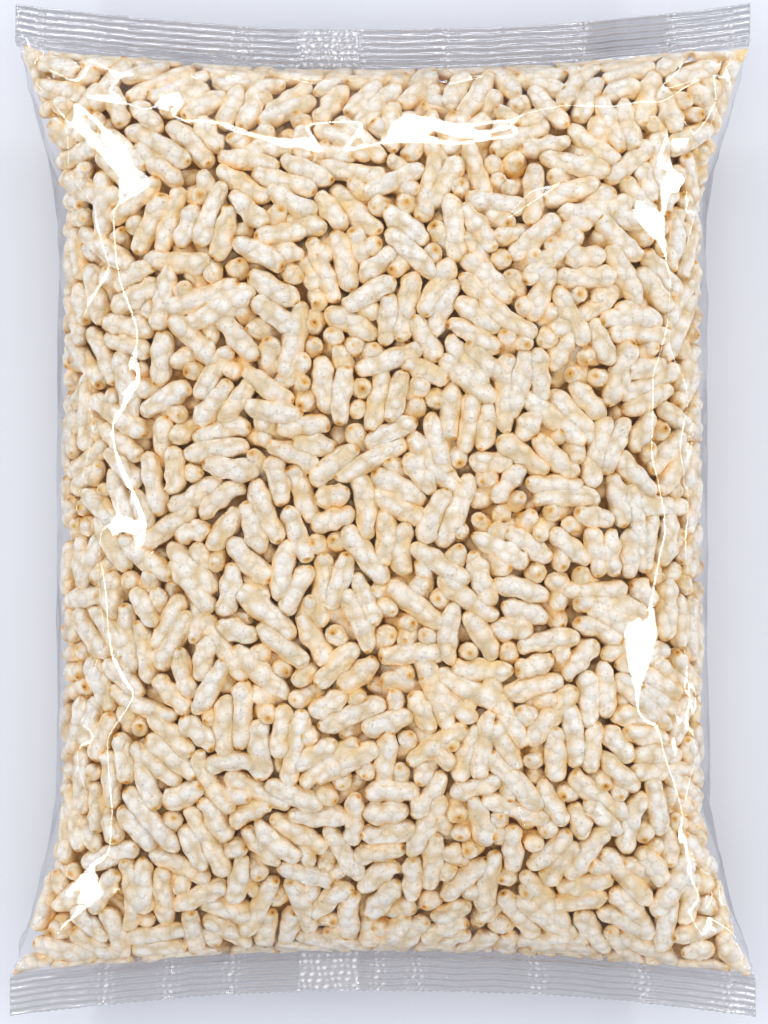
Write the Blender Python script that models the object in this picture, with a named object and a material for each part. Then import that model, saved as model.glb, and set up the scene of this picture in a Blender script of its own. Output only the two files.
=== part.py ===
"""A clear pillow bag of puffed rice, lying on its back.

The film and what fills it are one closed body.  Its skin starts as the tube of film laid
flat: the grains are laid out on it at their real size, each one a bump with shoulders and a
foot, and the flat sheet is then wrapped round the filled shape.  The two crimped end seals
and the seal along the back are strips fused to the same body.

Frame: the front of the bag faces +Z, its top seal lies towards +Y, and the origin is the
middle of the surface that the bag lies on.
"""

import bmesh
import bpy
import numpy as np
from mathutils.geometry import delaunay_2d_cdt

MM = 0.001

# The bag
BAG_LENGTH = 207.0 * MM        # cut edge to cut edge, measured at the corners
SEAL_WIDTH = 152.4 * MM        # the tube of film laid flat, at its wider end
WAIST_WIDTH = 132.4 * MM       # across the filled middle, where the film pulls in
EAR_LENGTH = 42.0 * MM         # the stretch over which the waist widens to the seals
MIDDLE_HEIGHT = 17.5 * MM      # the bag's middle plane above the surface
CROWN = 22.0 * MM              # the film's top above the middle plane
DOME_LENGTH = 50.0 * MM        # the stretch over which the bag grows to its full height
SQUARENESS = 2.6               # 2 is an elliptical cross-section, more is a fuller one
SETTLING = 0.008               # how much wider than its mean the lower end is
SEAL_DROOP = 3.0 * MM          # how far the seals hang below the middle plane

# The end seals and the back seal
SEAL_HEIGHT = 7.8 * MM
SEAL_BOW = 5.3 * MM            # how far the seal's middle is drawn in
SEAL_WAVE = 0.9 * MM           # the end seals' slow waves, up and down
SEAL_WAVELENGTH = 61.0 * MM
SEAL_THICKNESS = 1.0 * MM
SEAL_OVERLAP = 2.0 * MM        # how deep a seal reaches into the body
RIB_COUNT = 6
RIB_HEIGHT = 0.5 * MM
FIN_CENTRE = -11.0 * MM
FIN_WIDTH = 12.0 * MM
FIN_THICKNESS = 0.8 * MM

# The rice
GRAIN_WIDTH = 4.6 * MM
GRAIN_LENGTHS = (15.0 * MM, 13.5 * MM, 12.0 * MM, 10.0 * MM, 8.0 * MM, 6.0 * MM)
GRAIN_TAPER = 1.9 * MM         # the length of a grain's tapered end
GRAIN_SHOULDER = 0.42          # from a grain's axis to its shoulders, in radii
GRAIN_SPACING = 0.92           # the least distance between two grains' axes, in widths
THROWS_PER_LENGTH = 3000
SEAL_CLEARANCE = 2.0 * MM      # between a grain and an end seal
SEED = 14

# The meshes
SEAL_COLUMNS = 10
FIN_ROWS = 16
FOLD_ROWS = 9
PLAIN_SPACING = 7.5 * MM       # between points where no grain shows
LEAST_THICKNESS = 0.15 * MM    # half the thickness of the body inside its end seals
RIM_INSET = 0.25 * MM          # how far the body's side edge lies inside the seals' ends
OVERLAP_TAPER = 0.02           # how much narrower a seal ends inside the body
BEADS = 6                      # the points that stand for a grain's axis
MOST_SINK = 0.45               # the skin stays this share of the way from the middle

# Worked out from the sizes above
HALF_LENGTH = BAG_LENGTH / 2
MEAN_SEAL_WIDTH = SEAL_WIDTH / (1 + SETTLING)
FLAT_HALF_WIDTH = MEAN_SEAL_WIDTH / 2
FLAT_HALF_LENGTH = HALF_LENGTH - SEAL_HEIGHT
GRAIN_RADIUS = GRAIN_WIDTH / 2
FOLD_START = HALF_LENGTH - EAR_LENGTH - 2 * GRAIN_WIDTH   # where the ears' side folds start


# ---- The bag's form ----

def half_width(y):
    """Half the film's width: a straight waist that widens evenly over each ear."""
    reach = np.clip((np.abs(y) - (HALF_LENGTH - EAR_LENGTH)) / EAR_LENGTH, 0, 1)
    softness = 0.06
    flare = reach * reach / (reach + softness) * (1 + softness)
    waist = WAIST_WIDTH / 2
    width = waist + (MEAN_SEAL_WIDTH / 2 - waist) * flare
    return width * (1 - SETTLING * y / HALF_LENGTH)


def cut_edge(u):
    """The distance of the cut edge from the bag's middle; u runs from -1 to 1 across it."""
    return HALF_LENGTH - SEAL_BOW * (1 - u * u)


def middle_height(y):
    """The height of the bag's middle plane, which droops towards the seals."""
    return MIDDLE_HEIGHT - SEAL_DROOP * (y / HALF_LENGTH) ** 4


def seal_wave(u):
    """The slow wave of an end seal."""
    return SEAL_WAVE * np.sin(2 * np.pi * u * SEAL_WIDTH / 2 / SEAL_WAVELENGTH + 0.7)


def fullness(u, y):
    """From 0 at the end seals to 1 where the bag has its whole height."""
    to_seal = cut_edge(u) - SEAL_HEIGHT - np.abs(y)
    return (1 - np.clip(1 - to_seal / DOME_LENGTH, 0, 1) ** 2) ** 0.62


def spine_height(u, y):
    """The height of the bag's middle surface, which takes up the waves of the end seals."""
    return middle_height(y) + (1 - fullness(u, y)) * seal_wave(u)


def pillow(u, v, side):
    """A point on the film; u runs across it and v along it from seal to seal, both from
    -1 to 1, and side is 1 for the front and -1 for the back.

    The height is a dome along the bag, times a superellipse across it.
    """
    y = v * (cut_edge(u) - SEAL_HEIGHT)
    bulge = np.sqrt(np.clip(1 - np.abs(u) ** SQUARENESS, 0, 1))
    thickness = np.maximum(CROWN * fullness(u, y), LEAST_THICKNESS) * bulge
    x = (half_width(y) - RIM_INSET) * u
    z = spine_height(u, y) + side * thickness
    return np.stack(np.broadcast_arrays(x, y, np.maximum(z, 0.0)), axis=-1)


def wrap(flat):
    """Where points of the flat sheet of film lie on the filled bag.

    The sheet's first coordinate runs round the tube: within FLAT_HALF_WIDTH of 0 it is the
    front, and beyond that the back, out to the back's middle.  A point keeps its share of
    the arc across its own cross-section.
    """
    round_tube = flat[:, 0] / FLAT_HALF_WIDTH
    back = np.abs(round_tube) > 1
    share = np.where(back, np.sign(round_tube) * 2 - round_tube, round_tube)
    v = flat[:, 1:] / FLAT_HALF_LENGTH
    side = np.where(back, -1, 1)[:, None]
    samples = np.sin(np.linspace(-np.pi / 2, np.pi / 2, 97))[None]
    arc = pillow(samples, v, side)
    steps = np.linalg.norm(np.diff(arc, axis=1), axis=-1)
    length = np.concatenate([np.zeros((len(flat), 1)), np.cumsum(steps, axis=1)], axis=1)
    target = (share * 0.5 + 0.5)[:, None] * length[:, -1:]
    before = np.clip((length < target).sum(axis=1) - 1, 0, samples.size - 2)
    row = np.arange(len(flat))
    part = (target[:, 0] - length[row, before]) / steps[row, before]
    return arc[row, before] + part[:, None] * (arc[row, before + 1] - arc[row, before])


def sink(points, depth):
    """Move points of the film inwards, towards the middle of the bag's nearest round edge
    or straight towards its middle surface, and never more than part of the way."""
    x, y, _ = points.T
    u = x / half_width(y)
    inner_width = half_width(y) - CROWN * fullness(u, y)
    spine = np.stack([np.clip(x, -inner_width, inner_width), y, spine_height(u, y)], axis=-1)
    distance = np.linalg.norm(spine - points, axis=1)
    share = np.minimum(depth / np.maximum(distance, 0.01 * MM), MOST_SINK)
    sunk = points + share[:, None] * (spine - points)
    return np.maximum(sunk, [-np.inf, -np.inf, 0.0])


# ---- The rice under the film ----

def grain_axis(centre, angle, length):
    """Points along the axis of a grain on the flat sheet."""
    direction = np.array([np.cos(angle), np.sin(angle)])
    reach = length / 2 - GRAIN_RADIUS
    return centre + np.linspace(-reach, reach, BEADS)[:, None] * direction


def has_room(axis):
    """Whether a grain clears the seals, the ears' folds and the flat underside."""
    if np.abs(axis[:, 1]).max() > FLAT_HALF_LENGTH - GRAIN_RADIUS - SEAL_CLEARANCE:
        return False
    if np.abs(axis[:, 0]).max() > 2 * FLAT_HALF_WIDTH - GRAIN_RADIUS:
        return False
    to_fold = np.abs(np.abs(axis[:, 0]) - FLAT_HALF_WIDTH)
    if ((to_fold < GRAIN_RADIUS) & (np.abs(axis[:, 1]) > FOLD_START)).any():
        return False
    place = wrap(axis)
    back = np.abs(axis[:, 0]) > FLAT_HALF_WIDTH
    near_fin = np.abs(place[:, 0] - FIN_CENTRE) < FIN_WIDTH / 2 + GRAIN_RADIUS
    on_floor = place[:, 2] < GRAIN_RADIUS / 2
    return not (back & (near_fin | on_floor)).any()


def lay_grains():
    """Throw grains at the flat sheet, the longest first; one without room is left out."""
    draw = np.random.default_rng(SEED)
    beads = np.empty((0, BEADS, 2))
    laid = []
    for length in GRAIN_LENGTHS:
        for across, along, turn, size in draw.random((THROWS_PER_LENGTH, 4)):
            centre = np.array([(4 * across - 2) * FLAT_HALF_WIDTH,
                               (2 * along - 1) * FLAT_HALF_LENGTH])
            angle = turn * np.pi
            own_length = length * (0.95 + 0.1 * size)
            axis = grain_axis(centre, angle, own_length)
            gaps = np.linalg.norm(beads[:, :, None] - axis[None, None], axis=-1)
            if gaps.size and gaps.min() < GRAIN_WIDTH * GRAIN_SPACING:
                continue
            if has_room(axis):
                beads = np.concatenate([beads, axis[None]])
                laid.append((centre, angle, own_length))
    return laid, beads.reshape(-1, 2)


def grain_points(centre, angle, length):
    """A grain's foot, a hexagon, and its two pairs of shoulders, on the flat sheet."""
    body = length / 2 - GRAIN_TAPER
    foot = [(-length / 2, 0), (-body, -GRAIN_RADIUS), (body, -GRAIN_RADIUS),
            (length / 2, 0), (body, GRAIN_RADIUS), (-body, GRAIN_RADIUS)]
    shoulder = GRAIN_SHOULDER * GRAIN_RADIUS
    top = [(-body, -shoulder), (body, -shoulder), (body, shoulder), (-body, shoulder)]
    turn = np.array([[np.cos(angle), np.sin(angle)], [-np.sin(angle), np.cos(angle)]])
    return centre + np.array(foot + top) @ turn


def plain_points(axes):
    """A coarse grid of points over the sheet where no grain lies."""
    columns = int(4 * FLAT_HALF_WIDTH / PLAIN_SPACING)
    rows = int(2 * FLAT_HALF_LENGTH / PLAIN_SPACING)
    across = np.linspace(-2, 2, columns + 1)[1:-1] * FLAT_HALF_WIDTH
    along = np.linspace(-1, 1, rows + 1)[1:-1] * FLAT_HALF_LENGTH
    grid = np.stack(np.meshgrid(across, along), axis=-1).reshape(-1, 2)
    gaps = np.linalg.norm(grid[:, None] - axes[None], axis=-1).min(axis=1)
    return grid[gaps > 1.6 * GRAIN_RADIUS]


def border_points():
    """The sheet's border: the ends have the seals' columns, on the front and the back."""
    front = np.linspace(-1, 1, SEAL_COLUMNS + 1)
    back = 2 - front[SEAL_COLUMNS // 2:-1]
    ends = np.concatenate([-back, front, back]) * FLAT_HALF_WIDTH
    sides = np.linspace(-1, 1, FIN_ROWS + 1)[1:-1] * FLAT_HALF_LENGTH
    border = []
    for sign in (-1, 1):
        border.append(np.stack([ends, np.full(len(ends), sign * FLAT_HALF_LENGTH)], axis=-1))
        border.append(np.stack([np.full(len(sides), sign * 2 * FLAT_HALF_WIDTH), sides], axis=-1))
    return np.concatenate(border)


def fold_points():
    """A row of points along the side fold of each ear."""
    along = np.linspace(FOLD_START, FLAT_HALF_LENGTH, FOLD_ROWS + 1)
    rows = []
    for side in (-1, 1):
        for end in (-1, 1):
            rows.append(np.stack([np.full(len(along), side * FLAT_HALF_WIDTH), end * along], axis=-1))
    return rows


def skin_depth(flat, axes):
    """How far the skin lies inside the film: at a grain's axis nothing, and between the
    grains their radius, but nothing near the seals, at the folds and where the bag is flat."""
    gap = np.linalg.norm(flat[:, None] - axes[None], axis=-1).min(axis=1) / GRAIN_RADIUS
    depth = GRAIN_RADIUS * (1 - np.sqrt(np.clip(1 - gap * gap, 0, 1)))
    to_seal = (FLAT_HALF_LENGTH - np.abs(flat[:, 1])) / (4 * GRAIN_RADIUS)
    to_fold = np.abs(np.abs(flat[:, 0]) - FLAT_HALF_WIDTH) / (2 * GRAIN_RADIUS)
    before_ear = 1 - (np.abs(flat[:, 1]) - FOLD_START) / (4 * GRAIN_RADIUS)
    beside_fold = np.clip(np.maximum(to_fold, before_ear), 0, 1)
    return depth * np.clip(1.6 - gap / 2, 0, 1) * np.clip(to_seal, 0, 1) * beside_fold


# ---- Bodies ----

def add_body(name, points, faces, material, collection):
    """An object made from points and faces, closed and with its faces turned outwards."""
    mesh = bpy.data.meshes.new(name)
    mesh.from_pydata(points.tolist(), [], [list(face) for face in faces])
    body = bmesh.new()
    body.from_mesh(mesh)
    bmesh.ops.remove_doubles(body, verts=body.verts, dist=0.001 * MM)
    open_edges = [edge for edge in body.edges if edge.is_boundary]
    caps = bmesh.ops.holes_fill(body, edges=open_edges, sides=0)["faces"]
    bmesh.ops.triangulate(body, faces=caps)
    bmesh.ops.recalc_face_normals(body, faces=body.faces)
    body.to_mesh(mesh)
    body.free()
    mesh.materials.append(material)
    thing = bpy.data.objects.new(name, mesh)
    collection.objects.link(thing)
    return thing


def add_rice_body(material, collection):
    """The filled bag: the flat sheet with its grains, wrapped and sunk into its form."""
    grains, axes = lay_grains()
    points = [border_points(), plain_points(axes)]
    edges = []
    count = len(points[0]) + len(points[1])
    for row in fold_points():
        points.append(row)
        edges += [(count + k, count + k + 1) for k in range(FOLD_ROWS)]
        count += FOLD_ROWS + 1
    for grain in grains:
        points.append(grain_points(*grain))
        edges += [(count + k, count + (k + 1) % 6) for k in range(6)]
        edges += [(count + 6 + k, count + 6 + (k + 1) % 4) for k in range(4)]
        count += 10
    points = np.concatenate(points)
    flat, _, faces, *_ = delaunay_2d_cdt(points.tolist(), edges, [], 0, 0.01 * MM, False)
    flat = np.array([list(point) for point in flat])
    skin = sink(wrap(flat), skin_depth(flat, axes))
    print("grains", len(grains), "faces", len(faces))
    return add_body("bag", skin, faces, material, collection)


def add_slab(name, top, bottom, material, collection):
    """A closed body between two grids of points that are laid out alike."""
    rows, columns = top.shape[:2]
    count = rows * columns
    index = np.arange(count).reshape(rows, columns)
    corners = [index[:-1, :-1], index[:-1, 1:], index[1:, 1:], index[1:, :-1]]
    quads = np.stack(corners, axis=-1).reshape(-1, 4)
    border = [index[0, :], index[1:, -1], index[-1, -2::-1], index[-2:0:-1, 0]]
    rim = np.concatenate(border)
    after = np.roll(rim, -1)
    walls = np.stack([rim, rim + count, after + count, after], axis=-1)
    faces = np.concatenate([quads, quads[:, ::-1] + count, walls])
    points = np.concatenate([top.reshape(-1, 3), bottom.reshape(-1, 3)])
    return add_body(name, points, faces, material, collection)


def add_end_seal(name, end, material, collection):
    """A crimped strip across one end; its ribs run along the cut edge."""
    steps = np.arange(2 * RIB_COUNT + 1)
    depth = np.append(steps / (2 * RIB_COUNT) * SEAL_HEIGHT, SEAL_HEIGHT + SEAL_OVERLAP)
    ribs = np.append(np.where(steps % 2 == 1, RIB_HEIGHT / 2, -RIB_HEIGHT / 2), 0.0)
    u, depth = np.meshgrid(np.linspace(-1, 1, SEAL_COLUMNS + 1), depth)
    y = end * (cut_edge(u) - depth)
    inside = np.clip((depth - SEAL_HEIGHT) / SEAL_OVERLAP, 0, 1)
    x = half_width(y) * u * (1 - OVERLAP_TAPER * inside)
    z = middle_height(end * HALF_LENGTH) + seal_wave(u) + ribs[:, None]
    top = np.stack([x, y, z + SEAL_THICKNESS / 2], axis=-1)
    bottom = np.stack([x, y, z - SEAL_THICKNESS / 2], axis=-1)
    return add_slab(name, top, bottom, material, collection)


def add_back_seal(material, collection):
    """The strip that closes the tube of film down its back, lying flat against it."""
    v = np.linspace(-0.985, 0.985, FIN_ROWS + 1)
    edges = np.array([FIN_CENTRE - FIN_WIDTH / 2, FIN_CENTRE + FIN_WIDTH / 2])
    x, v = np.meshgrid(edges, v)
    skin = pillow(x / half_width(v * FLAT_HALF_LENGTH), v, -1)
    low = np.maximum(skin[..., 2].min(axis=1) - FIN_THICKNESS, 0.2 * MM)
    bottom = np.stack([x, skin[..., 1], np.repeat(low[:, None], 2, axis=1)], axis=-1)
    top = bottom + np.array([0, 0, FIN_THICKNESS + GRAIN_WIDTH])
    return add_slab("back_seal", top, bottom, material, collection)


def add_material(name, colour, roughness):
    """A plain finish."""
    material = bpy.data.materials.new(name)
    material.use_nodes = True
    shader = material.node_tree.nodes["Principled BSDF"]
    shader.inputs["Base Color"].default_value = (*colour, 1.0)
    shader.inputs["Roughness"].default_value = roughness
    shader.inputs["Metallic"].default_value = 0.0
    return material


def fuse(body, pieces):
    """Join a collection's pieces to a body, then remove them."""
    union = body.modifiers.new("fuse", "BOOLEAN")
    union.operation = "UNION"
    union.operand_type = "COLLECTION"
    union.collection = pieces
    depsgraph = bpy.context.evaluated_depsgraph_get()
    fused = bpy.data.meshes.new_from_object(body.evaluated_get(depsgraph))
    body.modifiers.clear()
    body.data = fused
    for piece in list(pieces.objects):
        bpy.data.objects.remove(piece)
    bpy.data.collections.remove(pieces)


def build():
    for thing in list(bpy.data.objects):
        bpy.data.objects.remove(thing)
    scene = bpy.context.scene.collection
    pieces = bpy.data.collections.new("pieces")
    scene.children.link(pieces)
    rice = add_material("puffed_rice", (0.86, 0.74, 0.54), 0.6)
    film = add_material("clear_film", (0.66, 0.67, 0.70), 0.15)

    bag = add_rice_body(rice, scene)
    bag.data.materials.append(film)
    add_end_seal("top_seal", 1, film, pieces)
    add_end_seal("lower_seal", -1, film, pieces)
    add_back_seal(film, pieces)
    fuse(bag, pieces)


build()
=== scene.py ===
# %% [markdown]
# # A clear pillow bag of puffed rice
#
# One machine makes a pillow bag: film is folded round a pipe, a lap seals it down the back,
# ribbed jaws seal and cut both ends, and puffed rice drops in between.  One solid from the
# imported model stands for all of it.  Here that solid is replaced by what the real bag is
# made of: loose grains, the film round them, the crimped end seals, and the lap down the back.
#
# The solid's box gives the sizes, so nothing has to be fitted afterwards.  All lengths are
# in metres, and `MM` turns millimetres into them.

# %% The fixed frame
import math

import bpy
import numpy as np
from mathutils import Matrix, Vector


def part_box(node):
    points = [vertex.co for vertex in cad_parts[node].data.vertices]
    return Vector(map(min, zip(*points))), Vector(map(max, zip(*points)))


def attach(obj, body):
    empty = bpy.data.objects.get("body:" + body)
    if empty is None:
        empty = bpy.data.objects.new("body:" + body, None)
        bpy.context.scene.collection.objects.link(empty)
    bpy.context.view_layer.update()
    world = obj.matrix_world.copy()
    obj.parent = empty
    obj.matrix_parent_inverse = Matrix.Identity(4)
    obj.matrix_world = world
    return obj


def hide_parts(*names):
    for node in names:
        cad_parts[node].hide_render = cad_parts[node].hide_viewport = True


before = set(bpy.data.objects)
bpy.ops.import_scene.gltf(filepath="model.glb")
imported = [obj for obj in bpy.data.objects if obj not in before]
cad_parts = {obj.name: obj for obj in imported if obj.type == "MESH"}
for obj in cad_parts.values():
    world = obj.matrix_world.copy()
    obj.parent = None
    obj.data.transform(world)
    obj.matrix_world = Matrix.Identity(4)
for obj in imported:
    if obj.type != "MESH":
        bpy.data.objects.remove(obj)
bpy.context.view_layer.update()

MM = 0.001
low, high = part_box("bag")
HALF_WIDTH = (high.x - low.x) / 2
HALF_LENGTH = (high.y - low.y) / 2
HEIGHT = high.z
print("bag in mm", [round(side * 2000, 1) for side in (HALF_WIDTH, HALF_LENGTH, HEIGHT / 2)])

# %% [markdown]
# ## The form of a filled pillow bag
#
# A pillow bag starts as a flat tube of film.  Filled, its middle pulls in and grows thick,
# and its ends stay as wide as the flat tube.  A cloth simulation could blow it up, but a few
# formulas give the same pillow every time, and say where any point lies in it, which the
# grains need while they are packed.

# %% The pillow as formulas
WAIST_HALF_WIDTH = 66.2 * MM
EAR_LENGTH = 42.0 * MM
MIDDLE_HEIGHT = 17.5 * MM
CROWN = HEIGHT - MIDDLE_HEIGHT
DOME_LENGTH = 50.0 * MM
SQUARENESS = 2.6
SETTLING = 0.008
SEAL_DROOP = 3.0 * MM
SEAL_HEIGHT = 7.8 * MM
SEAL_BOW = 5.3 * MM
SEAL_WAVE = 0.9 * MM
SEAL_WAVELENGTH = 61.0 * MM
SEAL_WAVE_START = 0.7
DOME_POWER = 0.62
FLARE_SOFTNESS = 0.06
MEAN_HALF_WIDTH = HALF_WIDTH / (1 + SETTLING)


def half_width(y):
    """Half the film's width: a straight waist that widens evenly over each ear."""
    reach = (np.abs(y) - (HALF_LENGTH - EAR_LENGTH)) / (EAR_LENGTH - SEAL_HEIGHT)
    reach = np.clip(reach, 0, 1)
    flare = reach * reach / (reach + FLARE_SOFTNESS) * (1 + FLARE_SOFTNESS)
    width = WAIST_HALF_WIDTH + (MEAN_HALF_WIDTH - WAIST_HALF_WIDTH) * flare
    return width * (1 - SETTLING * y / HALF_LENGTH)


def share_across(x, y):
    """Where a point lies across the bag, from -1 at one side of the film to 1."""
    return np.clip(x / half_width(y), -1, 1)


def cut_edge(u):
    """How far the cut edge is from the bag's middle; u is -1 to 1 across the bag."""
    return HALF_LENGTH - SEAL_BOW * (1 - u * u)


def seal_edge(u):
    """How far an end seal's inner edge is from the bag's middle."""
    return cut_edge(u) - SEAL_HEIGHT


def seal_wave(u):
    """The slow wave of an end seal, a sine across the bag."""
    return SEAL_WAVE * np.sin(2 * np.pi * u * HALF_WIDTH / SEAL_WAVELENGTH + SEAL_WAVE_START)


def fullness(u, y):
    """0 at the end seals and 1 where the bag is full: the root of a rising parabola."""
    to_seal = seal_edge(u) - np.abs(y)
    return (1 - np.clip(1 - to_seal / DOME_LENGTH, 0, 1) ** 2) ** DOME_POWER


def spine_height(u, y):
    """The height of the bag's middle surface: level, drooping and waving to the seals."""
    level = MIDDLE_HEIGHT - SEAL_DROOP * (y / HALF_LENGTH) ** 4
    return level + (1 - fullness(u, y)) * seal_wave(u)


print("waist", round(2000 * WAIST_HALF_WIDTH, 1), "mm, crown", round(1000 * CROWN, 1), "mm")

# %% [markdown]
# ## Packing the grains
#
# Poured grains lie every way, touch each other, and lie flat against the film where they
# meet it.  A rigid-body simulation of over two thousand grains is slow, so the heap is
# relaxed instead: each grain is a rod of three beads, the rods start small in chance places
# and grow, and beads that overlap push each other apart until all fit.

# %% [markdown]
# ## How deep a point lies under the film
#
# A grain may lie anywhere under the film, but never through it.  To look for the nearest
# point of the film's mesh is slow for thousands of grains and hundreds of rounds.  A level
# that is 0 in the middle and 1 on the film does it with arithmetic alone: what is left to 1,
# divided by how steeply the level rises, is about the distance left.

# %% A level from 0 in the middle to 1 on the film
THINNEST = 0.3 * MM
BEYOND_SIDE = 1.2
SLOPE_STEP = 0.2 * MM


def unit(vectors):
    """Vectors made 1 long."""
    return vectors / np.maximum(np.linalg.norm(vectors, axis=-1, keepdims=True), 1e-15)


def bag_level(points):
    """0 on the middle surface and 1 on the film: the root of the height's share squared
    plus the width's share to the power of the bag's squareness."""
    x, y, z = points.T
    u = np.clip(x / half_width(y), -BEYOND_SIDE, BEYOND_SIDE)
    inside = np.clip(u, -1, 1)
    thickness = np.maximum(CROWN * fullness(inside, y), THINNEST)
    rise = (z - spine_height(inside, y)) / thickness
    return np.sqrt(rise ** 2 + np.abs(u) ** SQUARENESS)


def film_depth(points):
    """The distance to the film, its level over its slope, and the way out of the bag."""
    level = bag_level(points)
    slope = np.stack([bag_level(points + step) - bag_level(points - step)
                      for step in SLOPE_STEP * np.eye(3)], axis=1) / (2 * SLOPE_STEP)
    size = np.maximum(np.linalg.norm(slope, axis=1), 1.0)
    return (1 - level) / size, slope / size[:, None]


high_point = np.array([[0.0, 0.0, HEIGHT - 3 * MM]])
print("3 mm under the crown is", round(film_depth(high_point)[0][0] / MM, 2), "mm from the film")

# %% [markdown]
# ## The grains' sizes and first places
#
# Puffed long grain rice is 8 to 17 mm long, mostly near 14 mm, and about 5 mm thick.  Only
# the two outer layers show through the film, so the grains fill a shell under it.  Their
# first places are the chance points that fall in the shell, which spreads them evenly
# however the bag curves.

# %% The grains' sizes and first places
SHELL = 12.0 * MM
FILLING = 1.07
GRAIN_WIDTH = 5.0 * MM
WIDTH_RANGE = (0.93, 1.07)
MEAN_GRAIN = 229.0 * MM ** 3
# in millimetres: the mean and the spread of the lengths, and the shortest and the longest
LENGTHS = (13.6, 1.9)
LENGTH_RANGE = (8.0, 17.5)
BEAD_PLACES = np.array([-1.0, 0.0, 1.0])
TRIALS = 60000
UNDER_FILM = 0.97
draw = np.random.default_rng(5)
box_size = np.array([2 * HALF_WIDTH, 2 * HALF_LENGTH, HEIGHT])
trial = draw.uniform([-0.5, -0.5, 0], [0.5, 0.5, 1], (TRIALS, 3)) * box_size
in_shell = np.abs(trial[:, 1]) < seal_edge(share_across(trial[:, 0], trial[:, 1]))
in_shell &= (bag_level(trial) < UNDER_FILM) & (film_depth(trial)[0] < SHELL)
shell_volume = in_shell.mean() * box_size.prod()
GRAINS = int(FILLING * shell_volume / MEAN_GRAIN)
centre = trial[in_shell][:GRAINS]
axis = unit(draw.normal(size=(GRAINS, 3)))
grain_length = np.clip(draw.normal(*LENGTHS, GRAINS), *LENGTH_RANGE) * MM
grain_radius = GRAIN_WIDTH / 2 * draw.uniform(*WIDTH_RANGE, GRAINS)
reach = grain_length / 2 - grain_radius
print("grains", GRAINS, "in", round(shell_volume * 1e6), "cm3 of shell")

# %% [markdown]
# ## Finding the beads that may touch
#
# Six thousand beads make eighteen million pairs, nearly all far apart.  A tree of places
# would be asked bead by bead.  Sorting the beads into cubes and looking only into the next
# cubes finds the near ones with whole arrays.


# %% Finding the beads that may touch
def near_pairs(points, distance):
    """Pairs of points closer than a distance: the points are sorted into cubes of that
    size, and each looks only into the 27 cubes round its own."""
    cell = np.floor((points - points.min(axis=0)) / distance).astype(np.int64) + 1
    rows, tall = cell[:, 1].max() + 2, cell[:, 2].max() + 2
    key = (cell[:, 0] * rows + cell[:, 1]) * tall + cell[:, 2]
    order = np.argsort(key, kind="stable")
    ordered = key[order]
    first, second = [], []
    for step_x, step_y in np.ndindex(3, 3):
        wanted = key + ((step_x - 1) * rows + step_y - 1) * tall
        start = np.searchsorted(ordered, wanted - 1, "left")
        count = np.searchsorted(ordered, wanted + 1, "right") - start
        here = np.repeat(np.arange(len(points)), count)
        offset = np.arange(count.sum()) - np.repeat(np.cumsum(count) - count, count)
        there = order[np.repeat(start, count) + offset]
        keep = here < there
        first.append(here[keep])
        second.append(there[keep])
    first, second = np.concatenate(first), np.concatenate(second)
    close = ((points[first] - points[second]) ** 2).sum(axis=1) < distance ** 2
    return first[close], second[close]


corners = np.stack(np.meshgrid([0, 1.0], [0, 1.0], [0, 1.0]), axis=-1).reshape(-1, 3)
print("edges of a cube found as near pairs", len(near_pairs(corners, 1.2)[0]))

# %% [markdown]
# ## Pushing the beads apart
#
# In the real bag each grain comes to rest where its neighbours and the film hold it.  Two
# rules stand for that.  A bead that comes too near the film moves in, and two beads that
# overlap move apart by half of what they overlap.  A grain then takes the place and the
# direction that its three beads have come to.

# %% Pushing the beads apart
UNDERSIDE = 0.4 * MM
FILM_GAP = 0.55 * MM
PRESSURE = 0.05 * MM
HELD_WHERE_THIN = 0.45
FULL_ENOUGH = 0.7
FASTEST_IN = 2.0 * MM
FASTEST_OUT = 0.5 * MM
SEAL_OVERLAP = 0.35
OVER_PUSH = 1.4


def push_into_bag(points, radius):
    """Move beads into the shell of rice that can be seen: in from the film, out from the
    deep middle, off the end seals, and up from the table.  A small push outwards at every
    round is the heap's own pressure on the film."""
    deep, way_out = film_depth(points)
    full = fullness(share_across(points[:, 0], points[:, 1]), points[:, 1])
    swell = np.clip(full / FULL_ENOUGH, 0, 1)
    held = radius * (HELD_WHERE_THIN + (1 - HELD_WHERE_THIN) * swell)
    inwards = np.clip(held + FILM_GAP - deep, 0, FASTEST_IN)
    outwards = np.clip(deep - (SHELL - radius), 0, FASTEST_OUT)
    drift = np.where(deep < SHELL, PRESSURE, 0)
    moved = points + (outwards + drift - inwards)[:, None] * way_out
    limit = seal_edge(share_across(moved[:, 0], moved[:, 1])) - SEAL_OVERLAP * radius
    moved[:, 1] = np.clip(moved[:, 1], -limit, limit)
    moved[:, 2] = np.maximum(moved[:, 2], radius + UNDERSIDE)
    return moved


def summed(index, vectors, count):
    """The sum of the vectors that go to each of a number of points."""
    return np.stack([np.bincount(index, vectors[:, k], count) for k in range(3)], axis=1)


def push_apart(points, radius, first, second):
    """Move overlapping beads apart, each by the mean of what its neighbours ask."""
    way = points[second] - points[first]
    distance = np.maximum(np.linalg.norm(way, axis=1), 1e-9)
    overlap = radius[first] + radius[second] - distance
    touch = overlap > 0
    first, second = first[touch], second[touch]
    push = (0.5 * overlap[touch] / distance[touch])[:, None] * way[touch]
    total = summed(second, push, len(points)) - summed(first, push, len(points))
    asked = np.bincount(np.concatenate([first, second]), minlength=len(points))
    return points + OVER_PUSH * total / np.maximum(asked, 1)[:, None], overlap[touch]


print("held back from the film", FILM_GAP / MM, "mm, off the table", UNDERSIDE / MM, "mm")

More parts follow.
